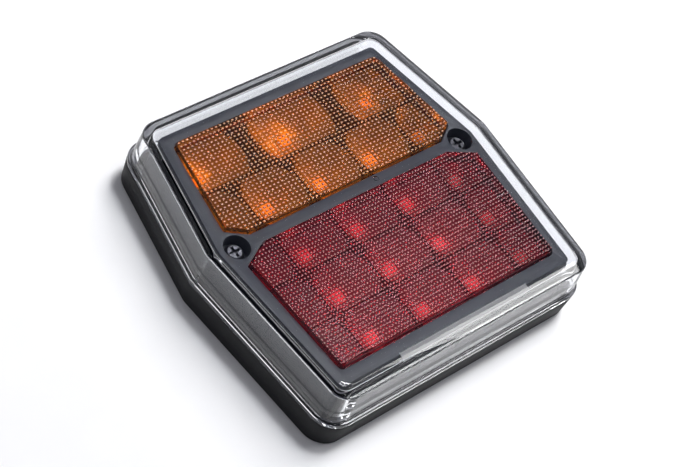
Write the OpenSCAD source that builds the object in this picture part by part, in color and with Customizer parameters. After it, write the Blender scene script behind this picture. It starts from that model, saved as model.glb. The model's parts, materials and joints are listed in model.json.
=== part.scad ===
// Compact LED tail light for a trailer: six-sided clear cover, amber indicator above,
// red tail and stop light below, number-plate light in the lower edge.
// The lamp lies on its flat back at z = 0. +Z points out of the lens, +Y to the indicator end.

/* [Outline] */
// Width across the waist at the back face
waist_w = 104; // [100:0.5:110]
// Width of the indicator end at the back face
top_w = 87.2; // [84:0.2:90]
// Width of the plate-light end at the back face
bottom_w = 95.8; // [93:0.2:98]
// Length of the back face
base_l = 96.5; // [95:0.5:100]
// Height of the waist above the middle of the back face
waist_y = 5.4; // [5:0.1:6]
// Corner radius of the back face
corner_r = 7; // [5:0.5:9]

/* [Housing] */
// Height of the housing from the back face to the cover flange
base_h = 8.2; // [8:0.1:8.6]
// Thickness of the housing floor
floor_t = 2.5; // [2:0.1:2.8]
// Thickness of the housing wall under the cover
base_wall = 2.9; // [2.8:0.1:3.2]
// How far the flange stands out past the back face
flange_out = 0.45; // [0.2:0.05:0.8]

/* [Clear cover] */
// Full depth of the lamp, back face to front of the cover
lamp_h = 21.5; // [21.3:0.1:24]
// Thickness of the cover's front
cover_t = 1.8; // [1.5:0.1:1.8]
// Thickness of the cover's side walls
cover_wall = 3; // [2.4:0.1:3.2]
// Thickness of the cover flange
flange_t = 1.6; // [1:0.1:2]
// Draft of the cover wall, bottom to shoulder
wall_draft = 0.7; // [0.3:0.1:1]
// Width of the sloping shoulder
shoulder_w = 3.6; // [3:0.1:4]
// Drop of the sloping shoulder
shoulder_drop = 1.25; // [0.8:0.05:1.5]

/* [Bezel and colour lenses] */
// Height of the bezel face above the back
bezel_z = 18.1; // [17.8:0.1:18.2]
// Thickness of the bezel face
bezel_t = 1.6; // [1.2:0.1:1.8]
// Gap from the back outline in to the bezel
bezel_inset = 6.05; // [5.6:0.05:6.4]
// Thickness of the bezel skirt
skirt_t = 1.5; // [1.2:0.1:1.6]
// How far the colour lenses stand above the bezel face
lens_rise = 1.3; // [0.6:0.1:1.4]
// Thickness of the colour lenses
lens_t = 2; // [1.4:0.1:2.2]
// Thickness of the colour lenses' side walls
lens_wall = 1.1; // [1:0.1:2]
// Gap between a colour lens and its window
lens_gap = 0.6; // [0.3:0.1:0.8]

/* [Board and lights] */
// Height of the underside of the circuit board
board_z = 5; // [4.9:0.05:5.1]
// Thickness of the circuit board
board_t = 1.6; // [1.4:0.1:1.6]
// Side of a square LED
led_w = 3; // [2.6:0.1:3.2]
// Height of an LED
led_h = 1.5; // [1:0.1:1.6]
// Distance between LED columns
led_pitch_x = 19; // [18.6:0.1:19]
// Distance between the red LED rows
led_pitch_y = 14.5; // [14:0.1:14.6]

/* [Mounting] */
// Distance between the two M5 threaded inserts
bolt_spacing = 52; // [50:0.5:54]
// Bore of the cable grommet
cable_d = 6.5; // [5:0.1:7]

/* [Hidden] */

$fn = 48;
eps = 0.01;             // overlap that keeps cuts and unions clean
corner_steps = 8;       // straight pieces in each rounded corner
min_corner_r = 1.5;
min_window_r = 0.3;

// Clear cover
cover_foot_inset = 0.45;
foot_slope = 0.4;
shoulder_z = lamp_h - shoulder_drop;
shoulder_inset = cover_foot_inset + wall_draft;
plateau_inset = shoulder_inset + shoulder_w;
cover_top_z = lamp_h - cover_t;
inner_inset = cover_foot_inset + cover_wall;

// Tongue of the cover in the groove of the housing
groove_in = 0.5;
groove_out = 1.9;
groove_depth = 1.8;
seal_h = 0.9;
tongue_gap = 0.1;

// Bezel
skirt_z = 3;
divider_y = 4.5;
divider_t = 1.6;
divider_z = 11;
screw_x = 40.9;
screw_y = 4.5;
screw_recess_d = 7.6;
screw_column_d = 9;
screw_seat_z = 14;
screw_column_z = 12.4;
screw_hole_d = 3.4;
screw_d = 3;
screw_head_d = 5.6;
screw_head_h = 2.1;
screw_l = 10;
pilot_d = 2.5;
post_d = 7;

// Windows in the bezel: corners of the right half from the top down, and their radii
amber_window = [[36.7, 39.1], [41.3, 10], [35.2, 6.1]];
amber_window_r = [2.6, 1, 1];
red_window = [[33.4, 2.8], [42.1, -1.6], [39.7, -38.4]];
red_window_r = [1, 1, 1.4];
lens_lip = 1.2;
lens_lip_z = 15.1;
lens_lip_t = 1.3;

// Board and reflectors
board_inset = bezel_inset + skirt_t + 0.4;
board_top = board_z + board_t;
reflector_top = 15;
reflector_inset = board_inset + 0.1;
reflector_floor = 0.8;
reflector_rib = 1;
cup_mouth = 2.4;
cup_steps = 6;
cup_z = board_top + reflector_floor;
board_clear = 0.3;

red_row_y = [-2.2, -2.2 - led_pitch_y, -2.2 - 2 * led_pitch_y];
red_low_y = -38.2;
red_high_y = divider_y - divider_t / 2 - 0.3;
amber_low_y = divider_y + divider_t / 2 + 0.3;
amber_split_y = 22.9;
amber_row_y = [14.6, 31];
amber_top_pitch = 31;
column_x = [for (i = [-2:2]) i * led_pitch_x];
amber_top_x = [for (i = [-1:1]) i * amber_top_pitch];

// Board fixings: one in each corner where four reflector cups meet
board_screw_at = [[1.5 * led_pitch_x, -23.9], [15.5, amber_split_y]];
board_screw_d = 2.5;
board_screw_l = 4.2;
board_head_d = 4.6;
board_head_h = 1.6;
board_boss_d = 6;
relief_d = 5.6;
post_room_d = screw_column_d + 0.6;
core_room_d = 8;

// Parts under the circuit board, each size as [width, length, height]
regulator = [6.4, 6.2, 2];
regulator_x = 9;
regulator_y = -34.5;
resistor = [3.2, 1.6, 0.6];
resistor_pitch = 5;
resistor_y = -9.5;
diode = [4.4, 2.6, 1.9];
diode_pitch = 8;
diode_y = 10;
capacitor = [3.2, 2.5, 1.8];
capacitor_pitch = 7;
capacitor_y = -25;
terminal_d = 1.1;
terminal_l = 2;
terminal_pitch = 3;
terminal_y = 32;

// Back face fittings
insert_y = divider_y;
insert_d = 6.4;
insert_l = 6;
insert_bore_d = 4.2;
boss_wall = 1.5;
boss_d = insert_d + 2 * boss_wall;
boss_h = 8;
grommet_at = [0, amber_split_y];
grommet_hole_d = 10;
grommet_rim_d = 13;
grommet_l = 4.6;
rim_t = 1;
vent_at = [0, -28];
vent_d = 6;
vent_rim_d = 8.4;
vent_hole_d = 2.4;
vent_chamber_d = 3.2;
vent_membrane_t = 0.6;
gasket_in = 3;
gasket_out = 6;
gasket_t = 1.2;

// Plate light
plate_board_t = 1.2;
plate_board_w = 44;
plate_board_h = 5.4;
plate_board_y = -base_l / 2 + bezel_inset + skirt_t + 0.3;
plate_led_x = 14.3;
plate_led_w = 3;
plate_led_h = 2;
plate_led_t = 1;
plate_led_z = 8.6;
plate_slot_gap = 0.3;
link_pin = [0.6, 0.8, 2];
link_pin_x = [5.5, 8];

function unit2(v) = v / norm(v);
function left_of(v) = [-v[1], v[0]];

// Six corners of the back face, anticlockwise from the indicator end's right corner
function hexagon() = [
    [top_w / 2, base_l / 2],
    [-top_w / 2, base_l / 2],
    [-waist_w / 2, waist_y],
    [-bottom_w / 2, -base_l / 2],
    [bottom_w / 2, -base_l / 2],
    [waist_w / 2, waist_y]
];

// Unit direction of the edge that leaves corner i
function edge_dir(p, i) = unit2(p[(i + 1) % len(p)] - p[i]);

// The same polygon with every edge moved inwards by d
function inset(p, d) = [for (i = [0:len(p) - 1])
    let (n1 = left_of(edge_dir(p, (i + len(p) - 1) % len(p))), n2 = left_of(edge_dir(p, i)))
    p[i] + (n1 + n2) * d / (1 + n1 * n2)];

// The same polygon with corner i replaced by an arc of radius r[i]
function rounded(p, r) = [for (i = [0:len(p) - 1], k = [0:corner_steps])
    let (n1 = left_of(edge_dir(p, (i + len(p) - 1) % len(p))), n2 = left_of(edge_dir(p, i)),
         centre = p[i] + (n1 + n2) * r[i] / (1 + n1 * n2),
         a1 = atan2(-n1[1], -n1[0]),
         turn = acos(min(1, n1 * n2)))
    centre + r[i] * [cos(a1 + turn * k / corner_steps), sin(a1 + turn * k / corner_steps)]];

// Outline of the lamp, moved inwards by d
function outline(d) = rounded(inset(hexagon(), d),
    [for (p = hexagon()) max(corner_r - d, min_corner_r)]);

// A window made whole across x = 0 from its right half, and moved inwards by d
function reversed(list) = [for (i = [len(list) - 1:-1:0]) list[i]];
function window(half, r, d) = rounded(
    inset(concat([for (p = half) [-p[0], p[1]]], reversed(half)), d),
    [for (c = concat(r, reversed(r))) max(c - d, min_window_r)]);
function amber_shape(d) = window(amber_window, amber_window_r, d);
function red_shape(d) = window(red_window, red_window_r, d);

// Upright slab of the lamp's outline between two heights
module slab(d, z0, z1) {
    translate([0, 0, z0])
        linear_extrude(z1 - z0)
            polygon(outline(d));
}

// Upright ring between two insets of the outline
module ring(d_out, d_in, z0, z1) {
    difference() {
        slab(d_out, z0, z1);
        slab(d_in, z0 - eps, z1 + eps);
    }
}

// Solid through rings of the outline, each given as [z, inset], from low to high
module loft(levels) {
    rings = [for (l = levels) [for (p = outline(l[1])) [p[0], p[1], l[0]]]];
    n = len(rings[0]);
    points = [for (r = rings, p = r) p];
    sides = [for (k = [0:len(levels) - 2], i = [0:n - 1])
        [k * n + i, (k + 1) * n + i, (k + 1) * n + (i + 1) % n, k * n + (i + 1) % n]];
    bottom = [for (i = [0:n - 1]) i];
    top = [for (i = [n - 1:-1:0]) (len(levels) - 1) * n + i];
    polyhedron(points, concat([bottom], sides, [top]));
}

// The same thing at x and at -x
module both_sides() {
    children();
    mirror([1, 0, 0]) children();
}

module at_inserts() {
    both_sides() translate([bolt_spacing / 2, insert_y, 0]) children();
}

module at_bezel_screws() {
    both_sides() translate([screw_x, screw_y, 0]) children();
}

module at_board_screws() {
    for (p = board_screw_at) both_sides() translate([p[0], p[1], 0]) children();
}

module at_plate_leds() {
    for (i = [-1:1]) translate([i * plate_led_x, 0, plate_led_z]) children();
}

// Housing: floor, wall with the cover's groove, and the posts that everything stands on
module base_housing() {
    color("#17181b")
    difference() {
        union() {
            difference() {
                loft([[0, 0], [base_h, -flange_out]]);
                slab(base_wall, floor_t, base_h + 1);
                ring(groove_in, groove_out, base_h - groove_depth, base_h + 1);
            }
            at_inserts() cylinder(d = boss_d, h = boss_h);
            at_bezel_screws() cylinder(d = post_d, h = screw_column_z);
            at_board_screws() cylinder(d = board_boss_d, h = board_z);
        }
        at_inserts() translate([0, 0, -1]) cylinder(d = insert_d, h = insert_l + 1);
        at_bezel_screws() translate([0, 0, floor_t]) cylinder(d = pilot_d, h = lamp_h);
        at_board_screws() translate([0, 0, 1]) cylinder(d = board_screw_d - 0.4, h = lamp_h);
        translate([grommet_at[0], grommet_at[1], -1]) cylinder(d = grommet_hole_d, h = floor_t + 2);
        translate([vent_at[0], vent_at[1], -1]) cylinder(d = vent_d, h = floor_t + 2);
        translate([vent_at[0], vent_at[1], -1]) cylinder(d = vent_rim_d, h = 1 + rim_t);
        ring(gasket_in, gasket_out, -1, gasket_t);
    }
}

// Flat rubber gasket, flush in its groove in the back face
module back_gasket() {
    color("#26272a") ring(gasket_in, gasket_out, 0, gasket_t);
}

// Brass M5 inserts with a grooved outside
module threaded_inserts() {
    groove = 0.35;
    color("#c9a24a")
    at_inserts() difference() {
        cylinder(d = insert_d, h = insert_l);
        translate([0, 0, -1]) cylinder(d = insert_bore_d, h = insert_l + 2);
        for (z = [insert_l / 3, insert_l * 2 / 3]) translate([0, 0, z - 0.4]) difference() {
            cylinder(d = insert_d + 1, h = 0.8);
            translate([0, 0, -1]) cylinder(d = insert_d - 2 * groove, h = 3);
        }
    }
}

// Rubber grommet that the supply cable passes through, with a rim inside the floor
module cable_grommet() {
    color("#1f2023")
    translate([grommet_at[0], grommet_at[1], 0]) difference() {
        union() {
            cylinder(d = grommet_hole_d, h = grommet_l);
            translate([0, 0, floor_t]) cylinder(d = grommet_rim_d, h = rim_t);
        }
        translate([0, 0, -1]) cylinder(d = cable_d, h = grommet_l + 2);
    }
}

// Breather plug with a rim at the back face
module breather_vent() {
    color("#8f9296")
    translate([vent_at[0], vent_at[1], 0]) difference() {
        union() {
            cylinder(d = vent_d, h = floor_t);
            cylinder(d = vent_rim_d, h = rim_t);
        }
        translate([0, 0, -1]) cylinder(d = vent_hole_d, h = 1 + rim_t);
        translate([0, 0, rim_t + vent_membrane_t]) cylinder(d = vent_chamber_d, h = floor_t);
    }
}

// Sealing bead at the bottom of the groove
module lens_seal() {
    seal_z = base_h - groove_depth;
    color("#5b5d61") ring(groove_in, groove_out, seal_z, seal_z + seal_h);
}

// Clear cover: flange, drafted wall, sloping shoulder and flat front
module outer_lens() {
    foot_z = base_h + flange_t;
    tongue_z = base_h - groove_depth + seal_h;
    color("#dfe6ee", 0.3)
    union() {
        difference() {
            loft([[base_h, -flange_out],
                  [foot_z, -flange_out],
                  [foot_z + foot_slope, cover_foot_inset],
                  [shoulder_z, shoulder_inset],
                  [lamp_h, plateau_inset]]);
            loft([[base_h - 1, inner_inset],
                  [shoulder_z - cover_t / 2, shoulder_inset + cover_wall],
                  [cover_top_z, plateau_inset + cover_t / 2]]);
        }
        ring(groove_in + tongue_gap, groove_out - tongue_gap, tongue_z, base_h + eps);
    }
}

// Bezel: face with two windows, skirt, divider and the two screw recesses
module bezel_frame() {
    color("#41444e")
    difference() {
        union() {
            ring(bezel_inset, bezel_inset + skirt_t, skirt_z, bezel_z);
            slab(bezel_inset, bezel_z - bezel_t, bezel_z);
            at_bezel_screws() translate([0, 0, screw_column_z])
                cylinder(d = screw_column_d, h = bezel_z - screw_column_z);
            translate([-screw_x, divider_y - divider_t / 2, divider_z])
                cube([2 * screw_x, divider_t, bezel_z - divider_z]);
        }
        translate([0, 0, bezel_z - bezel_t - 1]) linear_extrude(lamp_h) polygon(amber_shape(0));
        translate([0, 0, bezel_z - bezel_t - 1]) linear_extrude(lamp_h) polygon(red_shape(0));
        at_bezel_screws() translate([0, 0, screw_seat_z]) cylinder(d = screw_recess_d, h = lamp_h);
        at_bezel_screws() cylinder(d = screw_hole_d, h = lamp_h);
        at_plate_leds() cube([plate_led_w + 2 * plate_slot_gap, base_l,
            plate_led_h + 2 * plate_slot_gap], center = true);
    }
}

// Self-tapping pan-head screw with a cross recess; z = 0 under the head
module pan_screw(d, l, head_d, head_h) {
    slot = head_d * 0.16;
    difference() {
        union() {
            translate([0, 0, -l]) cylinder(d = d, h = l);
            cylinder(d = head_d, h = head_h * 0.6);
            translate([0, 0, head_h * 0.6]) cylinder(d1 = head_d, d2 = head_d * 0.7, h = head_h * 0.4);
        }
        for (a = [0, 90]) rotate(a) translate([-head_d * 0.3, -slot / 2, head_h * 0.35])
            cube([head_d * 0.6, slot, head_h]);
    }
}

module bezel_screws() {
    color("#55575c") at_bezel_screws() translate([0, 0, screw_seat_z])
        pan_screw(screw_d - 0.6, screw_l, screw_head_d, screw_head_h);
}

// Colour lens: raised cap with a lip that sits under the bezel face
module colour_lens(kind) {
    function shape(d) = kind == "amber" ? amber_shape(d) : red_shape(d);
    top_z = bezel_z + lens_rise;
    difference() {
        union() {
            translate([0, 0, lens_lip_z]) linear_extrude(top_z - lens_lip_z) polygon(shape(lens_gap));
            translate([0, 0, lens_lip_z]) linear_extrude(lens_lip_t)
                polygon(shape(lens_gap - lens_lip));
        }
        translate([0, 0, lens_lip_z - 1]) linear_extrude(top_z - lens_t - lens_lip_z + 1)
            polygon(shape(lens_gap + lens_wall));
        at_bezel_screws() cylinder(d = screw_column_d + 0.4, h = bezel_z);
    }
}

module amber_lens() {
    color("#f08a1e", 0.7) colour_lens("amber");
}

module red_lens() {
    color("#a01428", 0.7) colour_lens("red");
}

// Parabolic cup of radius r at the reflector's top, cut by its cell [x0, x1, y0, y1]
module cup(at, r, cell) {
    depth = reflector_top - cup_z;
    profile = [for (k = [0:cup_steps]) let (t = k / cup_steps)
        [sqrt(cup_mouth * cup_mouth + (r * r - cup_mouth * cup_mouth) * t), cup_z + depth * t]];
    intersection() {
        translate([at[0], at[1], 0]) rotate_extrude()
            polygon(concat([[0, cup_z]], profile,
                [[r, reflector_top + 1], [0, reflector_top + 1]]));
        translate([cell[0] + reflector_rib / 2, cell[2] + reflector_rib / 2, 0])
            cube([cell[1] - cell[0] - reflector_rib, cell[3] - cell[2] - reflector_rib, lamp_h]);
    }
    translate([at[0], at[1], 0]) cylinder(r = cup_mouth, h = cup_z + eps);
}

// Reflector between two heights in y: the cups given as children are sunk in a block that
// leaves room for the posts and screw heads, and keeps a rib of wall all round
module reflector(y0, y1) {
    difference() {
        intersection() {
            slab(reflector_inset, board_top, reflector_top);
            translate([-waist_w, y0, 0]) cube([2 * waist_w, y1 - y0, lamp_h]);
        }
        difference() {
            intersection() {
                slab(reflector_inset + reflector_rib, 0, lamp_h);
                union() children();
            }
            at_bezel_screws() cylinder(d = post_room_d + 2 * reflector_rib, h = lamp_h);
        }
        at_inserts() cylinder(d = boss_d + 0.6, h = boss_h + 0.4);
        at_bezel_screws() cylinder(d = post_room_d, h = lamp_h);
        at_board_screws() cylinder(d = relief_d, h = board_top + board_head_h + 0.4);
    }
}

module indicator_reflector() {
    low = amber_low_y + reflector_rib / 2;
    high = base_l / 2 - reflector_inset;
    color("#d9dadd")
    reflector(amber_low_y, base_l) {
        for (x = column_x)
            cup([x, amber_row_y[0]], led_pitch_x / 2,
                [x - led_pitch_x / 2, x + led_pitch_x / 2, low, amber_split_y]);
        for (x = amber_top_x)
            cup([x, amber_row_y[1]], amber_top_pitch * 0.42,
                [x - amber_top_pitch / 2, x + amber_top_pitch / 2, amber_split_y, high]);
    }
}

module tail_reflector() {
    color("#d9dadd")
    reflector(red_low_y, red_high_y)
        for (x = column_x, y = red_row_y)
            cup([x, y], led_pitch_x / 2,
                [x - led_pitch_x / 2, x + led_pitch_x / 2,
                 max(y - led_pitch_y / 2, red_low_y + reflector_rib / 2),
                 min(y + led_pitch_y / 2, red_high_y - reflector_rib / 2)]);
}

// Circuit board with room for every post that passes it and for the cable's cores
module circuit_board() {
    color("#1d5a3a")
    difference() {
        slab(board_inset, board_z, board_top);
        at_inserts() cylinder(d = boss_d + 2 * board_clear, h = lamp_h);
        at_bezel_screws() cylinder(d = post_d + 2 * board_clear, h = lamp_h);
        at_board_screws() cylinder(d = board_screw_d + 0.3, h = lamp_h);
        translate([grommet_at[0], grommet_at[1], 0]) cylinder(d = core_room_d, h = lamp_h);
    }
}

module board_screws() {
    color("#9a9da1") at_board_screws() translate([0, 0, board_top])
        pan_screw(board_screw_d - 0.4, board_screw_l, board_head_d, board_head_h);
}

// Square LED: body with a shallow round window
module led(at) {
    translate([at[0] - led_w / 2, at[1] - led_w / 2, board_top]) difference() {
        cube([led_w, led_w, led_h]);
        translate([led_w / 2, led_w / 2, led_h - 0.4]) cylinder(d = led_w * 0.78, h = 1);
    }
}

module indicator_leds() {
    color("#ffd27a") {
        for (x = column_x) led([x, amber_row_y[0]]);
        for (x = amber_top_x) led([x, amber_row_y[1]]);
    }
}

module tail_stop_leds() {
    color("#ff6a5a") for (x = column_x, y = red_row_y) led([x, y]);
}

// Small board that stands along the lower edge, facing the number plate
module plate_light_board() {
    color("#1d5a3a")
    translate([-plate_board_w / 2, plate_board_y, board_top])
        cube([plate_board_w, plate_board_t, plate_board_h]);
}

module plate_light_leds() {
    color("#f4f1dc")
    at_plate_leds() translate([-plate_led_w / 2, plate_board_y - plate_led_t, -plate_led_h / 2])
        cube([plate_led_w, plate_led_t, plate_led_h]);
}

// Pins that join the plate-light board to the main board
module plate_link_pins() {
    color("#c9a24a") for (x = link_pin_x) both_sides()
        translate([x, plate_board_y + plate_board_t, board_top]) cube(link_pin);
}

// Part soldered under the board, hanging down into the space above the floor
module under_board(size, x, y) {
    translate([x - size[0] / 2, y - size[1] / 2, board_z - size[2]]) cube(size);
}

module voltage_regulators() {
    color("#202124") both_sides() under_board(regulator, regulator_x, regulator_y);
}

module series_resistors() {
    color("#2b2d30") for (i = [1:6]) both_sides() under_board(resistor, i * resistor_pitch, resistor_y);
}

module polarity_diodes() {
    color("#2a2b2e") for (i = [-1:1]) under_board(diode, i * diode_pitch, diode_y);
}

module smoothing_capacitors() {
    color("#b59a6a") for (i = [-1:1]) under_board(capacitor, i * capacitor_pitch, capacitor_y);
}

// Five solder pins for the cores of the supply cable
module terminal_pins() {
    color("#c9a24a") for (i = [-2:2])
        translate([i * terminal_pitch, terminal_y, board_z - terminal_l])
            cylinder(d = terminal_d, h = terminal_l);
}

base_housing();
back_gasket();
threaded_inserts();
cable_grommet();
breather_vent();
lens_seal();
outer_lens();
bezel_frame();
bezel_screws();
amber_lens();
red_lens();
indicator_reflector();
tail_reflector();
circuit_board();
board_screws();
indicator_leds();
tail_stop_leds();
plate_light_board();
plate_light_leds();
plate_link_pins();
voltage_regulators();
series_resistors();
polarity_diodes();
smoothing_capacitors();
terminal_pins();
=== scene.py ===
"""Trailer tail light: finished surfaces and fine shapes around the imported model."""

import json
import math

import bmesh
import bpy
from mathutils import Matrix, Vector

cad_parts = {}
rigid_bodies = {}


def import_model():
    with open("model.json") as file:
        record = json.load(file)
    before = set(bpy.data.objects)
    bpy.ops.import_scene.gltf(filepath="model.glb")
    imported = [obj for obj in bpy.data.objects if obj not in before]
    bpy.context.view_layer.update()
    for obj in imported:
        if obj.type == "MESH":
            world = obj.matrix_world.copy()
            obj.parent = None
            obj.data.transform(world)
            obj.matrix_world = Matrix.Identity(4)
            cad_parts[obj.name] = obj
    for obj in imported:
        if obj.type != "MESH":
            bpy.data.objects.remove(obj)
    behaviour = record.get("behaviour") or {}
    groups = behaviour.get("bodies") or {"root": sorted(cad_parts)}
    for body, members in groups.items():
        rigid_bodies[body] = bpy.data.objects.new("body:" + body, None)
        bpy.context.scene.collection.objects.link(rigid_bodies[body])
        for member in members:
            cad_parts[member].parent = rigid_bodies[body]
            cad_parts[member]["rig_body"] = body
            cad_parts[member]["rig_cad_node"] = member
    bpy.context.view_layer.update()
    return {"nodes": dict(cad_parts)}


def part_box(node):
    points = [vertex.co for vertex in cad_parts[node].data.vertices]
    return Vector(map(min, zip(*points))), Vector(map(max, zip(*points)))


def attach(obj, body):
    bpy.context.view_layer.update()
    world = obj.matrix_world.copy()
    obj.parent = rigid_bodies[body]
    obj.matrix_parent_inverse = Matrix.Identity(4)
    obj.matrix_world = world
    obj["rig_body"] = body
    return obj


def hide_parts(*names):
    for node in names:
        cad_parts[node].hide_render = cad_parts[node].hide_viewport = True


bl_info = {
    "name": "Trailer tail light",
    "version": (1, 0, 0),
    "blender": (4, 5, 0),
    "location": "View3D > Sidebar > Tail light",
    "description": "Builds a six-sided LED trailer tail light around its packed model",
    "category": "Add Mesh",
}

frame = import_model()
MM = 0.001

# Reaches for comparing, merging and cutting points, in metres
TINY = 1e-6
MERGE_REACH = 4e-6
WELD_REACH = 2e-6
CUT_REACH = 2e-7

# Faces that meet at less than this are one flat face
FLAT_ANGLE = math.radians(0.5)


# ---------------------------------------------------------------- sizes and colours


def top_of(node):
    """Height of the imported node's highest point."""
    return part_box(node)[1].z


def length(name, default_mm, note):
    return bpy.props.FloatProperty(
        name=name, description=note, default=default_mm * MM, min=0.0, subtype="DISTANCE", unit="LENGTH"
    )


def colour(name, rgb, note):
    return bpy.props.FloatVectorProperty(
        name=name, description=note, default=rgb, size=3, min=0.0, max=1.0, subtype="COLOR"
    )


class LampSizes(bpy.types.PropertyGroup):
    """Driving sizes of the lamp's outline, cover and optics"""

    waist_w: length("Waist width", 104.0, "Width across the waist at the back face")
    top_w: length("Top width", 87.2, "Width of the indicator end at the back face")
    bottom_w: length("Bottom width", 95.8, "Width of the plate-light end at the back face")
    base_l: length("Length", 96.5, "Length of the back face")
    waist_y: length("Waist height", 5.4, "Distance of the waist above the middle of the back face")
    corner_r: length("Corner radius", 7.0, "Corner radius of the back face")
    seat_rise: length("Seat height", 7.0, "Height of the cover's seat above the top of the gasket")
    flange_out: length("Flange overhang", 0.45, "How far the flange stands out past the back face")
    flange_t: length("Flange thickness", 1.6, "Thickness of the cover's flange")
    foot_inset: length("Foot inset", 0.45, "Inset of the cover's wall where it leaves the flange")
    foot_rise: length("Foot rise", 0.4, "Height of the small slope on top of the flange")
    cover_t: length("Cover front thickness", 1.8, "Thickness of the clear cover's front")
    cover_wall: length("Cover wall thickness", 3.0, "Thickness of the clear cover's side walls")
    wall_draft: length("Wall draft", 0.7, "Draft of the cover's wall from flange to shoulder")
    shoulder_w: length("Shoulder width", 3.6, "Width of the cover's sloping shoulder")
    shoulder_drop: length("Shoulder drop", 1.25, "Drop of the cover's sloping shoulder")
    cover_edge: length("Cover edge radius", 0.45, "Rounding of the cover's edges")
    bezel_edge: length("Bezel edge radius", 0.18, "Rounding of the bezel's edges")
    housing_edge: length("Housing edge radius", 0.4, "Rounding of the housing's edges")
    lens_t: length("Colour lens thickness", 2.0, "Thickness of the colour lenses' fronts")
    lens_wall: length("Colour lens wall", 1.1, "Thickness of the colour lenses' side walls")
    lip_reach: length("Lens lip reach", 0.3, "How far a colour lens's lip reaches under the bezel")
    lip_t: length("Lens lip thickness", 1.3, "Thickness of a colour lens's lip")
    lens_gap: length("Colour lens gap", 0.6, "Gap between a colour lens and its window")
    red_pitch: length("Red optic pitch", 1.12, "Distance between the red lens's dot optics")
    amber_pitch_x: length("Amber optic pitch X", 1.42, "Distance between the amber optics across")
    amber_pitch_y: length("Amber optic pitch Y", 1.18, "Distance between the amber optics along")
    dot_w: length("Optic width", 0.66, "Width of one dot optic")
    dot_h: length("Optic height", 0.15, "Height of one dot optic")


class LampColours(bpy.types.PropertyGroup):
    """Colours of the lamp's materials"""

    housing: colour("Housing", (0.005, 0.0055, 0.0065), "Black moulded plastic of the housing")
    bezel: colour("Bezel", (0.020, 0.022, 0.029), "Dark grey moulded plastic of the bezel")
    cover: colour("Cover", (0.97, 0.98, 1.0), "Clear plastic of the cover")
    amber: colour("Amber lens", (0.95, 0.42, 0.06), "Amber plastic of the indicator's lens")
    red: colour("Red lens", (0.66, 0.045, 0.08), "Red plastic of the tail light's lens")
    chrome: colour("Reflector", (0.52, 0.52, 0.54), "Metallised finish of the reflectors")
    board: colour("Circuit board", (0.012, 0.10, 0.045), "Solder mask of the boards")
    steel: colour("Screws", (0.09, 0.09, 0.1), "Plated steel of the screws")
    brass: colour("Inserts", (0.72, 0.50, 0.20), "Brass of the inserts and pins")
    rubber: colour("Rubber", (0.016, 0.016, 0.018), "Black rubber of the gasket and grommet")


class StageSettings(bpy.types.PropertyGroup):
    """Floor, light and camera"""

    floor: colour("Floor", (0.86, 0.86, 0.87), "Colour of the floor")
    world_strength: bpy.props.FloatProperty(
        name="Ambient light", description="Strength of the even light all round", default=0.9, min=0.0
    )
    lens_mm: bpy.props.FloatProperty(
        name="Camera lens", description="Focal length of the camera", default=106.93, min=1.0
    )
    azimuth: bpy.props.FloatProperty(
        name="Camera azimuth", description="Direction that the camera looks along",
        default=math.radians(-62.21), subtype="ANGLE",
    )
    elevation: bpy.props.FloatProperty(
        name="Camera elevation", description="Height of the camera above the floor",
        default=math.radians(49.32), subtype="ANGLE",
    )
    roll: bpy.props.FloatProperty(
        name="Camera roll", description="Turn of the camera about its own line of sight",
        default=math.radians(28.59), subtype="ANGLE",
    )
    target_y: length("Target along the lamp", 5.15, "Where the camera looks, towards the indicator end")
    target_z: length("Target height", 15.6, "Height that the camera looks at")
    distance: length("Camera distance", 561.1, "Distance from the camera to its target")
    shift_right: length("Camera offset right", 0.63, "Sideways offset of the camera")
    shift_down: length("Camera offset down", 10.06, "Downward offset of the camera")


def sizes():
    return bpy.context.scene.lamp_sizes


def colours():
    return bpy.context.scene.lamp_colours


def stage():
    return bpy.context.scene.lamp_stage


# ---------------------------------------------------------------- outlines


def moved_in(points, d):
    """The convex, anticlockwise polygon with every edge moved inwards by d."""
    out = []
    for i, p in enumerate(points):
        n1 = (p - points[i - 1]).orthogonal().normalized()
        n2 = (points[(i + 1) % len(points)] - p).orthogonal().normalized()
        out.append(p + (n1 + n2) * d / (1 + n1.dot(n2)))
    return out


def rounded(points, radii, steps):
    """The polygon with each corner replaced by an arc of its own radius."""
    out = []
    for i, p in enumerate(points):
        n1 = (p - points[i - 1]).orthogonal().normalized()
        n2 = (points[(i + 1) % len(points)] - p).orthogonal().normalized()
        centre = p + (n1 + n2) * radii[i] / (1 + n1.dot(n2))
        start = math.atan2(-n1.y, -n1.x)
        turn = math.acos(min(1.0, n1.dot(n2)))
        for k in range(steps + 1):
            a = start + turn * k / steps
            out.append(centre + radii[i] * Vector((math.cos(a), math.sin(a))))
    return out


def lamp_outline(d, steps=12):
    """Outline of the lamp, moved inwards by d from the edge of the back face."""
    s = sizes()
    half = s.base_l / 2
    corners = [(s.top_w / 2, half), (-s.top_w / 2, half), (-s.waist_w / 2, s.waist_y)]
    corners += [(-s.bottom_w / 2, -half), (s.bottom_w / 2, -half), (s.waist_w / 2, s.waist_y)]
    radius = max(s.corner_r - d, MIN_CORNER * MM)
    points = moved_in([Vector(c) for c in corners], d)
    return rounded(points, [radius] * len(points), steps)


# Windows in the bezel, from the upper to the lower corner of their right half: places and corner
# radii, in millimetres
AMBER_WINDOW = ((36.7, 39.1), (41.3, 10.0), (35.2, 6.1))
RED_WINDOW = ((33.4, 2.8), (42.1, -1.6), (39.7, -38.4))
AMBER_RADII = (2.6, 1.0, 1.0)
RED_RADII = (1.0, 1.0, 1.4)
MIN_RADIUS = 0.3

# Smallest corner radius of the lamp's outline, when it is moved far inwards, in millimetres
MIN_CORNER = 1.5


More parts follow.
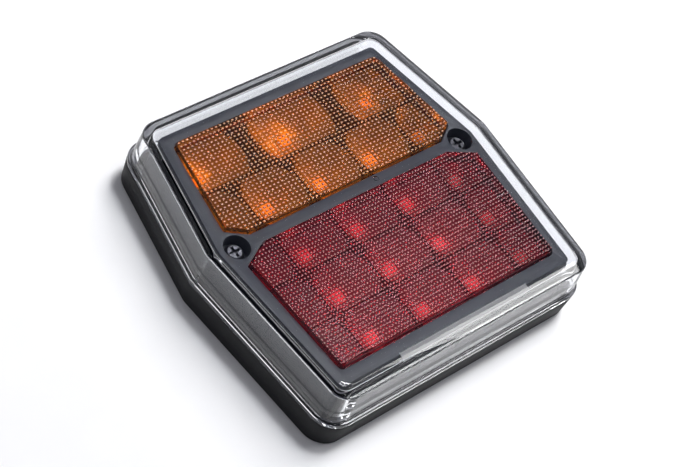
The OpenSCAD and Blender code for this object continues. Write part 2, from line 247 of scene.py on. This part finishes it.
def window_outline(half, radii, d, steps=4):
    """A window made whole across x = 0 and moved inwards by d."""
    points = [Vector((-x, y)) * MM for x, y in half] + [Vector((x, y)) * MM for x, y in reversed(half)]
    rounds = [r * MM for r in radii] + [r * MM for r in reversed(radii)]
    return rounded(moved_in(points, d), [max(r - d, MIN_RADIUS * MM) for r in rounds], steps)


# ---------------------------------------------------------------- modelling helpers


def deselect():
    if bpy.context.object and bpy.context.object.mode != "OBJECT":
        bpy.ops.object.mode_set(mode="OBJECT")
    bpy.ops.object.select_all(action="DESELECT")


def named(name):
    """The primitive that was just added, under its own name."""
    piece = bpy.context.object
    piece.name = name
    piece.data.name = name
    return piece


def edit(piece, mode="FACE"):
    deselect()
    bpy.context.view_layer.objects.active = piece
    piece.select_set(True)
    bpy.ops.object.mode_set(mode="EDIT")
    bpy.ops.mesh.select_mode(type=mode)


def pick(piece, kind, test):
    """In edit mode, selects only the verts, edges or faces that pass the test."""
    bpy.ops.mesh.select_all(action="DESELECT")
    mesh = bmesh.from_edit_mesh(piece.data)
    for item in getattr(mesh, kind):
        if test(item):
            item.select_set(True)
    mesh.select_flush_mode()
    bmesh.update_edit_mesh(piece.data)


def finish_edit():
    """Turns every face outwards and leaves edit mode."""
    bpy.ops.mesh.select_all(action="SELECT")
    bpy.ops.mesh.normals_make_consistent(inside=False)
    bpy.ops.object.mode_set(mode="OBJECT")


# Side of the blank sheet that outlines are cut from, in metres
BLANK_SIZE = 0.3


def cut_to(outline):
    """In edit mode, trims the mesh to a convex, anticlockwise outline."""
    for i, p in enumerate(outline):
        along = (outline[(i + 1) % len(outline)] - p).normalized()
        bpy.ops.mesh.select_all(action="SELECT")
        bpy.ops.mesh.bisect(
            plane_co=(p.x, p.y, 0), plane_no=(along.y, -along.x, 0), clear_outer=True, threshold=CUT_REACH
        )


def outline_plate(name, outline, z):
    """One face with that outline, at height z, left in edit mode and selected."""
    deselect()
    bpy.ops.mesh.primitive_plane_add(size=BLANK_SIZE, location=(0, 0, z))
    piece = named(name)
    bpy.ops.object.transform_apply()
    edit(piece)
    cut_to(outline)
    bpy.ops.mesh.select_all(action="SELECT")
    return piece


def rise(height):
    """Extrudes the selection straight up, or down if the height is negative."""
    bpy.ops.mesh.extrude_region_move(TRANSFORM_OT_translate={"value": (0, 0, height)})


def step_in(thickness, depth):
    """Insets the selected face and moves it along its own normal."""
    bpy.ops.mesh.inset(thickness=thickness, depth=depth, use_even_offset=True)


def apply(piece, kind, **settings):
    """Adds a modifier of that kind and applies it."""
    deselect()
    bpy.context.view_layer.objects.active = piece
    piece.select_set(True)
    modifier = piece.modifiers.new(kind.title(), kind)
    for key, value in settings.items():
        setattr(modifier, key, value)
    bpy.ops.object.modifier_apply(modifier=modifier.name)


def round_edges(piece, width, segments=2, angle=25):
    apply(
        piece, "BEVEL", width=width, segments=segments, limit_method="ANGLE",
        angle_limit=math.radians(angle), use_clamp_overlap=True, miter_outer="MITER_ARC",
    )


def smooth(piece, angle=35):
    deselect()
    bpy.context.view_layer.objects.active = piece
    piece.select_set(True)
    bpy.ops.object.shade_smooth_by_angle(angle=math.radians(angle))


def copy_of(node, name):
    """A copy of a CAD node's mesh as clean faces, to be finished by hand."""
    deselect()
    piece = frame["nodes"][node].copy()
    piece.data = piece.data.copy()
    piece.name = name
    piece.data.name = name
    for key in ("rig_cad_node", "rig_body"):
        if key in piece:
            del piece[key]
    piece.parent = None
    bpy.context.scene.collection.objects.link(piece)
    piece.data.materials.clear()
    edit(piece, "VERT")
    bpy.ops.mesh.select_all(action="SELECT")
    bpy.ops.mesh.remove_doubles(threshold=WELD_REACH)
    bpy.ops.mesh.dissolve_limited(angle_limit=FLAT_ANGLE)
    bpy.ops.object.mode_set(mode="OBJECT")
    return piece


def settle(piece, material, slot, *nodes):
    """Gives the finished piece its material and its place in the lamp."""
    piece.data.materials.clear()
    piece.data.materials.append(material)
    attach(piece, "root")
    if nodes:
        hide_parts(*nodes)


def joined(pieces, name):
    deselect()
    for piece in pieces:
        piece.select_set(True)
    bpy.context.view_layer.objects.active = pieces[0]
    bpy.ops.object.join()
    return named(name)


# ---------------------------------------------------------------- materials

# Patches per metre of the slow drift in colour, and waves per metre in the clear parts
DRIFT_SCALE = 60
WAVE_SCALE = 90

PLASTIC_IOR = 1.49

# Share of a lamp's light that passes a clear or dyed wall, beside what its dye takes out
PASSED_LIGHT = 0.96


def new_material(name):
    material = bpy.data.materials.new(name)
    material.use_nodes = True
    tree = material.node_tree
    return material, tree, tree.nodes["Principled BSDF"]


def add(tree, kind, **settings):
    node = tree.nodes.new(kind)
    for key, value in settings.items():
        if key in node.inputs:
            node.inputs[key].default_value = value
        else:
            setattr(node, key, value)
    return node


def object_noise(tree, scale, detail=4.0, rough=0.55):
    """Noise that lies still on the piece, read from its own coordinates."""
    where = add(tree, "ShaderNodeTexCoord")
    noise = add(tree, "ShaderNodeTexNoise", Scale=scale, Detail=detail, Roughness=rough)
    tree.links.new(where.outputs["Object"], noise.inputs["Vector"])
    return noise


def spread(tree, source, low, high):
    """The 0 to 1 source brought between low and high."""
    node = add(tree, "ShaderNodeMapRange")
    node.inputs["To Min"].default_value = low
    node.inputs["To Max"].default_value = high
    tree.links.new(source, node.inputs["Value"])
    return node.outputs["Result"]


def tinted(tree, source, dark, light):
    ramp = add(tree, "ShaderNodeValToRGB")
    ramp.color_ramp.elements[0].position = 0.3
    ramp.color_ramp.elements[0].color = (*dark, 1)
    ramp.color_ramp.elements[1].position = 0.7
    ramp.color_ramp.elements[1].color = (*light, 1)
    tree.links.new(source, ramp.inputs["Fac"])
    return ramp.outputs["Color"]


def scaled(rgb, factor):
    return tuple(min(1.0, c * factor) for c in rgb)


def grained(name, rgb, roughness, grain, bump, contrast=0.12, metallic=0.0, coat=0.0, specular=0.5):
    """Moulded or metal surface: fine grain in its bump, slow drift in colour and gloss.

    grain is in bumps per metre and bump is the grain's depth in millimetres.
    """
    material, tree, shader = new_material(name)
    drift = object_noise(tree, DRIFT_SCALE, 3)
    fine = object_noise(tree, grain, 6, 0.65)
    toned = tinted(tree, drift.outputs["Fac"], scaled(rgb, 1 - contrast), scaled(rgb, 1 + contrast))
    gloss = spread(tree, fine.outputs["Fac"], roughness * 0.85, min(1, roughness * 1.15))
    tree.links.new(toned, shader.inputs["Base Color"])
    tree.links.new(gloss, shader.inputs["Roughness"])
    bumps = add(tree, "ShaderNodeBump", Strength=0.35, Distance=bump * MM)
    tree.links.new(fine.outputs["Fac"], bumps.inputs["Height"])
    tree.links.new(bumps.outputs["Normal"], shader.inputs["Normal"])
    shader.inputs["Metallic"].default_value = metallic
    shader.inputs["Specular IOR Level"].default_value = specular
    shader.inputs["Coat Weight"].default_value = coat
    return material


def clear_plastic(name, rgb, roughness, ripple):
    """Clear or dyed plastic with a faint mould ripple, which lets the lamps' light in."""
    material, tree, shader = new_material(name)
    wave = object_noise(tree, WAVE_SCALE, 2)
    shader.inputs["Base Color"].default_value = (*rgb, 1)
    shader.inputs["Transmission Weight"].default_value = 1.0
    shader.inputs["IOR"].default_value = PLASTIC_IOR
    gloss = spread(tree, wave.outputs["Fac"], roughness * 0.6, roughness * 1.4)
    tree.links.new(gloss, shader.inputs["Roughness"])
    bumps = add(tree, "ShaderNodeBump", Strength=0.2, Distance=ripple * MM)
    tree.links.new(wave.outputs["Fac"], bumps.inputs["Height"])
    tree.links.new(bumps.outputs["Normal"], shader.inputs["Normal"])
    path = add(tree, "ShaderNodeLightPath")
    through = add(tree, "ShaderNodeBsdfTransparent")
    through.inputs["Color"].default_value = (*(math.sqrt(c) * PASSED_LIGHT for c in rgb), 1)
    mixed = add(tree, "ShaderNodeMixShader")
    tree.links.new(path.outputs["Is Shadow Ray"], mixed.inputs["Fac"])
    tree.links.new(shader.outputs["BSDF"], mixed.inputs[1])
    tree.links.new(through.outputs["BSDF"], mixed.inputs[2])
    tree.links.new(mixed.outputs["Shader"], tree.nodes["Material Output"].inputs["Surface"])
    return material


# ---------------------------------------------------------------- operators


class LAMP_OT_housing(bpy.types.Operator):
    """Black housing with softened edges"""

    bl_idname = "lamp.housing"
    bl_label = "Housing"

    def execute(self, context):
        piece = copy_of("base_housing", "housing")
        round_edges(piece, sizes().housing_edge, 2, 40)
        smooth(piece)
        material = grained("housing_plastic", colours().housing, 0.6, 2600, 0.02, specular=0.28)
        settle(piece, material, "housing_black", "base_housing")
        return {"FINISHED"}


# Hairlines left by the mould's inserts in the cover's front: x, y of both ends, in millimetres
MOULD_LINES = (
    ((-38, 34.5), (-23.5, 34.5)), ((-39, 24.5), (-31, 24.5)), ((15, 24.5), (31, 24.5)),
    ((-41, -17), (-26.5, -17)), ((-41, -27), (-26.5, -27)), ((-26.5, -27), (-26.5, -17)),
    ((35, -17), (42, -17)), ((35, -27), (42, -27)), ((35, -27), (35, -17)),
)
LINE_W = 0.2
LINE_DEPTH = 0.05

# Ring where the mould was filled, and the blank pad: middle and size, in millimetres
GATE = (6.6, 3.6)
GATE_R = 0.75
GATE_T = 0.2
PAD = (24.4, 28.5)
PAD_SIZE = (14.6, 4.4)

# Frosted strip on the lower shoulder's inner face, in millimetres: half its length, how far it lies
# in from the cover's end, how far below its front, and how rough it is
FROST_HALF = 23.5
FROST_IN = (4.3, 6.4)
FROST_DOWN = (3.15, 1.75)
FROST_ROUGHNESS = 0.4


def block(name, centre, size):
    """A rectangular bar, centre and size in metres."""
    deselect()
    bpy.ops.mesh.primitive_cube_add(size=1, location=centre, scale=size)
    bpy.ops.object.transform_apply()
    return named(name)


def mould_marks(top):
    """Cutter for the hairlines, the gate mark and the blank pad in the cover's front."""
    cutters = []
    for start, end in MOULD_LINES:
        middle = ((start[0] + end[0]) / 2 * MM, (start[1] + end[1]) / 2 * MM, top)
        size = (abs(end[0] - start[0]) + LINE_W, abs(end[1] - start[1]) + LINE_W, 2 * LINE_DEPTH)
        cutters.append(block("hairline", middle, Vector(size) * MM))
    pad_size = Vector((*PAD_SIZE, 2 * LINE_DEPTH)) * MM
    cutters.append(block("pad", (PAD[0] * MM, PAD[1] * MM, top), pad_size))
    round_edges(cutters[-1], 0.5 * LINE_DEPTH * MM, 1)
    deselect()
    bpy.ops.mesh.primitive_torus_add(
        location=(GATE[0] * MM, GATE[1] * MM, top), major_radius=GATE_R * MM,
        minor_radius=GATE_T * MM, major_segments=32, minor_segments=8,
    )
    bpy.ops.object.transform_apply()
    cutters.append(named("gate_mark"))
    return joined(cutters, "mould_marks")


def carve(piece, cutter):
    """Cuts the cutter out of the piece, and removes it."""
    apply(piece, "BOOLEAN", object=cutter, operation="DIFFERENCE", solver="EXACT", use_self=True)
    bpy.data.objects.remove(cutter, do_unlink=True)


def within(tree, axis, low, high):
    """1 where the piece's own coordinate on that axis lies between low and high, else 0."""
    where = add(tree, "ShaderNodeTexCoord")
    split = add(tree, "ShaderNodeSeparateXYZ")
    compare = add(tree, "ShaderNodeMath", operation="COMPARE")
    compare.inputs[1].default_value = (low + high) / 2
    compare.inputs[2].default_value = (high - low) / 2
    tree.links.new(where.outputs["Object"], split.inputs["Vector"])
    tree.links.new(split.outputs[axis], compare.inputs[0])
    return compare.outputs["Value"]


def both(tree, first, second):
    """1 where both masks are 1."""
    product = add(tree, "ShaderNodeMath", operation="MULTIPLY")
    tree.links.new(first, product.inputs[0])
    tree.links.new(second, product.inputs[1])
    return product.outputs["Value"]


def frost_shoulder(material):
    """Frosts the middle of the lower shoulder's inner face."""
    tree = material.node_tree
    shader = tree.nodes["Principled BSDF"]
    low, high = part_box("outer_lens")
    across = within(tree, "X", -FROST_HALF * MM, FROST_HALF * MM)
    along = within(tree, "Y", *(low.y + d * MM for d in FROST_IN))
    inside = within(tree, "Z", *(high.z - d * MM for d in FROST_DOWN))
    strip = both(tree, both(tree, across, along), inside)
    polished = shader.inputs["Roughness"].links[0].from_socket
    rougher = add(tree, "ShaderNodeMath", operation="MULTIPLY_ADD")
    rougher.inputs[1].default_value = FROST_ROUGHNESS
    tree.links.new(strip, rougher.inputs[0])
    tree.links.new(polished, rougher.inputs[2])
    tree.links.new(rougher.outputs["Value"], shader.inputs["Roughness"])


class LAMP_OT_cover(bpy.types.Operator):
    """Clear cover: flange, drafted wall, sloping shoulder and flat front"""

    bl_idname = "lamp.cover"
    bl_label = "Clear cover"

    def execute(self, context):
        s = sizes()
        low = top_of("back_gasket") + s.seat_rise
        top = top_of("outer_lens")
        foot = low + s.flange_t
        shoulder = top - s.shoulder_drop
        piece = outline_plate("clear_cover", lamp_outline(-s.flange_out), low)
        rise(s.flange_t)
        step_in(s.flange_out + s.foot_inset, s.foot_rise)
        step_in(s.wall_draft, shoulder - foot - s.foot_rise)
        step_in(s.shoulder_w, s.shoulder_drop)
        pick(piece, "faces", lambda f: abs(f.calc_center_median().z - low) < TINY)
        hollow = shoulder - s.cover_t / 2
        step_in(s.flange_out + s.foot_inset + s.cover_wall, 0)
        step_in(s.wall_draft, low - hollow)
        step_in(s.shoulder_w + s.cover_t / 2 - s.cover_wall, hollow - (top - s.cover_t))
        finish_edit()
        round_edges(piece, s.cover_edge, 3, 14)
        carve(piece, mould_marks(top))
        smooth(piece, 30)
        apply(piece, "WEIGHTED_NORMAL", weight=100, keep_sharp=True)
        material = clear_plastic("clear_cover", colours().cover, 0.01, 0.002)
        frost_shoulder(material)
        settle(piece, material, "clear_cover", "outer_lens")
        return {"FINISHED"}


# Fine raised lines across the bezel's face: place along it and length, in millimetres
BEADS = ((3.55, 68), (-40.9, 76))
BEAD_W = 0.14
BEAD_T = 0.44
BEAD_SUNK = 0.2


class LAMP_OT_bezel(bpy.types.Operator):
    """Dark grey bezel with softened edges"""

    bl_idname = "lamp.bezel"
    bl_label = "Bezel"

    def execute(self, context):
        piece = copy_of("bezel_frame", "bezel")
        round_edges(piece, sizes().bezel_edge, 2, 40)
        z = top_of("bezel_frame") - BEAD_SUNK * MM
        beads = [block("bead", (0, y * MM, z), Vector((w, BEAD_W, BEAD_T)) * MM) for y, w in BEADS]
        piece = joined([piece, *beads], "bezel")
        smooth(piece)
        material = grained("bezel_plastic", colours().bezel, 0.5, 2200, 0.02, specular=0.25)
        settle(piece, material, "bezel_grey", "bezel_frame")
        return {"FINISHED"}


# A dot optic's chamfered corners and its three rounding steps, as shares of its width and height
DOT_CHAMFER = 0.25
DOT_STEPS = ((0.12, 0.55), (0.15, 0.33), (0.14, 0.12))

# How far apart two tiles' edges may lie and still be welded, in metres
TILE_REACH = 1e-5


def tiled(piece, count, step):
    """Repeats the piece along the step and welds the tiles' edges."""
    apply(
        piece, "ARRAY", count=count, use_relative_offset=False, use_constant_offset=True,
        constant_offset_displace=step, use_merge_vertices=True, merge_threshold=TILE_REACH,
    )


def inner_corner(v):
    """True for the four corners of the inset face, and false on the tile's own border."""
    return len(v.link_edges) == 3 and all(len(e.link_faces) == 2 for e in v.link_edges)


def weld_all():
    """In edit mode, merges points that lie together."""
    bpy.ops.mesh.select_all(action="SELECT")
    bpy.ops.mesh.remove_doubles(threshold=MERGE_REACH)


def optic_field(name, pitch_x, pitch_y, outline, z):
    """A sheet of dot optics trimmed to the outline, left in edit mode."""
    s = sizes()
    xs = [p.x for p in outline]
    ys = [p.y for p in outline]
    across = math.ceil((max(xs) - min(xs)) / pitch_x / 2) * 2 + 1
    along = math.ceil((max(ys) - min(ys)) / pitch_y / 2) * 2 + 1
    middle = (max(ys) + min(ys)) / 2
    start = Vector((-(across - 1) / 2 * pitch_x, middle - (along - 1) / 2 * pitch_y, z))
    deselect()
    bpy.ops.mesh.primitive_plane_add(size=1, location=start)
    piece = named(name)
    edit(piece)
    bpy.ops.mesh.select_all(action="SELECT")
    bpy.ops.transform.resize(value=(pitch_x, pitch_y, 1))
    bpy.ops.mesh.inset(thickness=(min(pitch_x, pitch_y) - s.dot_w) / 2)
    bpy.ops.mesh.select_mode(type="VERT")
    pick(piece, "verts", inner_corner)
    bpy.ops.mesh.bevel(offset=s.dot_w * DOT_CHAMFER, segments=1, affect="VERTICES")
    bpy.ops.mesh.select_mode(type="FACE")
    pick(piece, "faces", lambda f: len(f.verts) == 8 and all(len(e.link_faces) == 2 for e in f.edges))
    for inward, upward in DOT_STEPS:
        step_in(s.dot_w * inward, s.dot_h * upward)
    bpy.ops.object.mode_set(mode="OBJECT")
    bpy.ops.object.transform_apply()
    tiled(piece, across, (pitch_x, 0, 0))
    tiled(piece, along, (0, pitch_y, 0))
    edit(piece, "VERT")
    weld_all()
    cut_to(outline)
    weld_all()
    bpy.ops.mesh.dissolve_degenerate(threshold=MERGE_REACH)
    return piece


def reshape(piece, source, target):
    """Moves the selected corners of one outline to the matching points of another."""
    mesh = bmesh.from_edit_mesh(piece.data)
    for v in mesh.verts:
        if v.select:
            nearest = min(range(len(source)), key=lambda k: (source[k] - v.co.xy).length_squared)
            v.co.xy = target[nearest]
    bmesh.update_edit_mesh(piece.data)


# Share of the lip's reach by which its lower face is first stepped in
LIP_STEP = 0.1


def lens_foot(half, radii, low, top):
    """Lip under the bezel and the hollow above it, open at the top of the lip."""
    s = sizes()
    lip = window_outline(half, radii, -s.lip_reach)
    foot = outline_plate("foot", lip, low)
    rise(s.lip_t)
    bpy.ops.mesh.delete(type="ONLY_FACE")
    pick(foot, "faces", lambda f: abs(f.calc_center_median().z - low) < TINY)
    step_in(LIP_STEP * s.lip_reach, 0)
    reshape(foot, lip, window_outline(half, radii, s.lens_gap + s.lens_wall))
    rise(top - s.lens_t - low)
    bpy.ops.object.mode_set(mode="OBJECT")
    return foot


def lens_cap(sheet, half, radii, low, top):
    """Gives the sheet of optics its outer wall, and its foot with the hollow."""
    lip_top = low + sizes().lip_t
    bpy.ops.mesh.select_mode(type="EDGE")
    pick(sheet, "edges", lambda e: len(e.link_faces) == 1)
    rise(lip_top - top)
    mesh = bmesh.from_edit_mesh(sheet.data)
    for v in mesh.verts:
        if v.select:
            v.co.z = lip_top
    bmesh.update_edit_mesh(sheet.data)
    bpy.ops.object.mode_set(mode="OBJECT")
    piece = joined([sheet, lens_foot(half, radii, low, top)], sheet.name)
    edit(piece, "EDGE")
    pick(piece, "edges", lambda e: len(e.link_faces) == 1)
    bpy.ops.mesh.bridge_edge_loops()
    finish_edit()
    return piece


# Height on a dot optic where its pale tip starts, how much light still passes the tip, and the tip's
# colour: a grey plus a share of the lens's own colour. The pale tips are a painted highlight that stands
# in for the lamps' glints on the optics.
GLINT_START = 0.75
GLINT_CLEARNESS = 0.35
GLINT_GREY = 0.22
GLINT_DYE = 0.34


def painted_glint_tips(material, glint_z):
    """Pale tips on the dot optics above the given height: a painted highlight in place of the lamps'
    glints.
    """
    tree = material.node_tree
    shader = tree.nodes["Principled BSDF"]
    glint_mask = within(tree, "Z", glint_z, 2 * glint_z)
    dyed = shader.inputs["Base Color"].default_value[:]
    mixed = add(tree, "ShaderNodeMix", data_type="RGBA")
    mixed.inputs["A"].default_value = dyed
    mixed.inputs["B"].default_value = (*(GLINT_GREY + GLINT_DYE * c for c in dyed[:3]), 1)
    tree.links.new(glint_mask, mixed.inputs["Factor"])
    tree.links.new(mixed.outputs["Result"], shader.inputs["Base Color"])
    tree.links.new(spread(tree, glint_mask, 1.0, GLINT_CLEARNESS), shader.inputs["Transmission Weight"])


class LAMP_OT_colour_lenses(bpy.types.Operator):
    """Amber and red inner lenses with their fields of dot optics"""

    bl_idname = "lamp.colour_lenses"
    bl_label = "Colour lenses"

    def execute(self, context):
        s = sizes()
        c = colours()
        for node, half, radii, px, py, rgb in (
            ("amber_lens", AMBER_WINDOW, AMBER_RADII, s.amber_pitch_x, s.amber_pitch_y, c.amber),
            ("red_lens", RED_WINDOW, RED_RADII, s.red_pitch, s.red_pitch, c.red),
        ):
            low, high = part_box(node)
            top = high.z - s.dot_h
            outline = window_outline(half, radii, s.lens_gap)
            piece = optic_field(node + "_optics", px, py, outline, top)
            piece = lens_cap(piece, half, radii, low.z, top)
            smooth(piece, 50)
            material = clear_plastic(node, rgb, 0.06, 0.002)
            # Pale tips on the optics: painted highlight for the lamps' glints
            painted_glint_tips(material, top + GLINT_START * s.dot_h)
            settle(piece, material, node, node)
        return {"FINISHED"}


# Colour of the reflectors' lands between the cups: painted shade, near black
LAND_SHADE = (0.05, 0.05, 0.055)

# How far below a reflector's top its lands end, in millimetres
LAND_DEPTH = 0.2


def metallised(name, rgb, land_z):
    """Bright vacuum-metallised cups, with painted shade on the lands above the height land_z: a
    near-black colour in place of the metallised one.
    """
    material = grained(name, rgb, 0.22, 900, 0.01, 0.04, metallic=0.7)
    tree = material.node_tree
    shader = tree.nodes["Principled BSDF"]
    bright = shader.inputs["Base Color"].links[0].from_socket
    mixed = add(tree, "ShaderNodeMix", data_type="RGBA")
    mixed.inputs["B"].default_value = (*LAND_SHADE, 1)
    tree.links.new(within(tree, "Z", land_z, 2 * land_z), mixed.inputs["Factor"])
    tree.links.new(bright, mixed.inputs["A"])
    tree.links.new(mixed.outputs["Result"], shader.inputs["Base Color"])
    return material


class LAMP_OT_reflectors(bpy.types.Operator):
    """Metallised reflectors with smooth cups"""

    bl_idname = "lamp.reflectors"
    bl_label = "Reflectors"

    def execute(self, context):
        land_z = top_of("tail_reflector") - LAND_DEPTH * MM
        material = metallised("metallised", colours().chrome, land_z)
        for node in ("indicator_reflector", "tail_reflector"):
            piece = copy_of(node, node + "_cups")
            smooth(piece, 30)
            settle(piece, material, "reflector_chrome", node)
        return {"FINISHED"}


class LAMP_OT_fittings(bpy.types.Operator):
    """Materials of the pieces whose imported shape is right"""

    bl_idname = "lamp.fittings"
    bl_label = "Fittings"

    def execute(self, context):
        c = colours()
        looks = {
            "back_gasket": grained("gasket_rubber", c.rubber, 0.75, 1800, 0.04),
            "threaded_inserts": grained("insert_brass", c.brass, 0.32, 1500, 0.02, metallic=1.0),
            "breather_vent": grained("vent_plastic", (0.25, 0.26, 0.27), 0.6, 1800, 0.03),
            "lens_seal": grained("seal_bead", (0.1, 0.1, 0.11), 0.45, 1200, 0.03),
            "bezel_screws": grained("screw_steel", c.steel, 0.38, 1600, 0.02, metallic=1.0),
            "circuit_board": grained("solder_mask", c.board, 0.3, 1400, 0.02, coat=0.3),
            "indicator_leds": grained("amber_led", (0.95, 0.62, 0.2), 0.35, 900, 0.01),
            "tail_stop_leds": grained("red_led", (0.95, 0.5, 0.45), 0.35, 900, 0.01),
            "plate_light_leds": grained("white_led", (0.95, 0.94, 0.85), 0.35, 900, 0.01),
            "voltage_regulators": grained("chip_black", (0.02, 0.02, 0.022), 0.5, 1500, 0.02),
            "smoothing_capacitors": grained("capacitor", (0.45, 0.33, 0.18), 0.4, 1500, 0.02),
        }
        looks["cable_grommet"] = looks["back_gasket"]
        looks["board_screws"] = looks["bezel_screws"]
        looks["plate_light_board"] = looks["circuit_board"]
        looks["plate_link_pins"] = looks["threaded_inserts"]
        looks["terminal_pins"] = looks["threaded_inserts"]
        looks["series_resistors"] = looks["voltage_regulators"]
        looks["polarity_diodes"] = looks["voltage_regulators"]
        for node, material in looks.items():
            mesh = frame["nodes"][node].data
            mesh.materials.clear()
            mesh.materials.append(material)
        return {"FINISHED"}


# Soft panels: place and size in metres, power in watts, and whether glossy surfaces mirror them
SOFTBOXES = {
    "overhead": ((0.1, 0.1, 1.6), (1.6, 1.6), 3.4, False),
    "key": ((0.72, 0.25, 0.80), (0.5, 0.5), 9.0, False),
    "strip": ((0.577, -0.275, 0.80), (0.14, 0.3), 1.2, True),
    "sparkle": ((0.353, 0.08, 0.932), (0.22, 0.22), 5.0, True),
    "rim": ((-0.64, 0.36, 0.68), (0.7, 0.25), 0.75, True),
}

# Colours of the surroundings, at and below the first height and at and above the second, where 0
# is the horizon and 1 is straight up
LOW_WALLS = (0.15, (0.68, 0.67, 0.73))
CEILING = (0.5, (0.035, 0.04, 0.06))

FLOOR_SIZE = 12
SENSOR_WIDTH = 36


class LAMP_OT_stage(bpy.types.Operator):
    """Floor, lights and camera"""

    bl_idname = "lamp.stage"
    bl_label = "Stage"

    def execute(self, context):
        self.floor()
        self.world()
        for name, (place, size, power, mirrored) in SOFTBOXES.items():
            self.softbox(name, place, size, power, mirrored)
        self.camera()
        bpy.context.scene.view_settings.view_transform = "Standard"
        return {"FINISHED"}

    def floor(self):
        deselect()
        bpy.ops.mesh.primitive_plane_add(size=FLOOR_SIZE, location=(0, 0, 0))
        floor = named("floor")
        floor.data.materials.append(grained("floor_card", stage().floor, 0.8, 300, 0.01, 0.01))

    def world(self):
        """Bright round the horizon and dark overhead, as in a booth with low pale walls."""
        world = bpy.data.worlds.new("studio")
        world.use_nodes = True
        tree = world.node_tree
        background = tree.nodes["Background"]
        where = add(tree, "ShaderNodeTexCoord")
        split = add(tree, "ShaderNodeSeparateXYZ")
        ramp = add(tree, "ShaderNodeValToRGB")
        for stop, (height, rgb) in zip(ramp.color_ramp.elements, (LOW_WALLS, CEILING)):
            stop.position = height
            stop.color = (*rgb, 1)
        tree.links.new(where.outputs["Generated"], split.inputs["Vector"])
        tree.links.new(split.outputs["Z"], ramp.inputs["Fac"])
        tree.links.new(ramp.outputs["Color"], background.inputs["Color"])
        background.inputs["Strength"].default_value = stage().world_strength
        bpy.context.scene.world = world

    def softbox(self, name, place, size, power, mirrored):
        """A soft panel that faces the lamp; an unmirrored one never shows in glossy surfaces."""
        bpy.ops.object.light_add(type="AREA", location=place)
        lamp = bpy.context.object
        lamp.name = name
        lamp.data.shape = "RECTANGLE"
        lamp.data.size, lamp.data.size_y = size
        lamp.data.energy = power
        lamp.rotation_euler = (-Vector(place)).to_track_quat("-Z", "Y").to_euler()
        lamp.visible_glossy = mirrored
        lamp.visible_transmission = mirrored

    def camera(self):
        s = stage()
        az, el = s.azimuth, s.elevation
        back = Vector((math.sin(az) * math.cos(el), -math.cos(az) * math.cos(el), math.sin(el)))
        right = (-back).cross(Vector((0, 0, 1))).normalized()
        up = right.cross(-back)
        across = math.cos(s.roll) * right + math.sin(s.roll) * up
        upward = math.cos(s.roll) * up - math.sin(s.roll) * right
        target = Vector((0, s.target_y, s.target_z))
        place = target + back * s.distance + across * s.shift_right - upward * s.shift_down
        data = bpy.data.cameras.new("camera")
        data.lens = s.lens_mm
        data.sensor_width = SENSOR_WIDTH
        camera = bpy.data.objects.new("camera", data)
        turn = Matrix((across, upward, back)).transposed().to_4x4()
        camera.matrix_world = Matrix.Translation(place) @ turn
        bpy.context.scene.collection.objects.link(camera)
        bpy.context.scene.camera = camera


STEPS = (
    LAMP_OT_housing,
    LAMP_OT_cover,
    LAMP_OT_bezel,
    LAMP_OT_colour_lenses,
    LAMP_OT_reflectors,
    LAMP_OT_fittings,
    LAMP_OT_stage,
)


class LAMP_PT_panel(bpy.types.Panel):
    """Buttons that build the lamp"""

    bl_idname = "LAMP_PT_panel"
    bl_label = "Tail light"
    bl_space_type = "VIEW_3D"
    bl_region_type = "UI"
    bl_category = "Tail light"

    def draw(self, context):
        for step in STEPS:
            self.layout.operator(step.bl_idname)


GROUPS = {"lamp_sizes": LampSizes, "lamp_colours": LampColours, "lamp_stage": StageSettings}


def register():
    for name, group in GROUPS.items():
        bpy.utils.register_class(group)
        setattr(bpy.types.Scene, name, bpy.props.PointerProperty(type=group))
    for step in (*STEPS, LAMP_PT_panel):
        bpy.utils.register_class(step)


def unregister():
    for step in (LAMP_PT_panel, *reversed(STEPS)):
        bpy.utils.unregister_class(step)
    for name, group in GROUPS.items():
        delattr(bpy.types.Scene, name)
        bpy.utils.unregister_class(group)


def main():
    register()
    for step in STEPS:
        group, call = step.bl_idname.split(".")
        getattr(getattr(bpy.ops, group), call)()


if __name__ == "__main__":
    main()
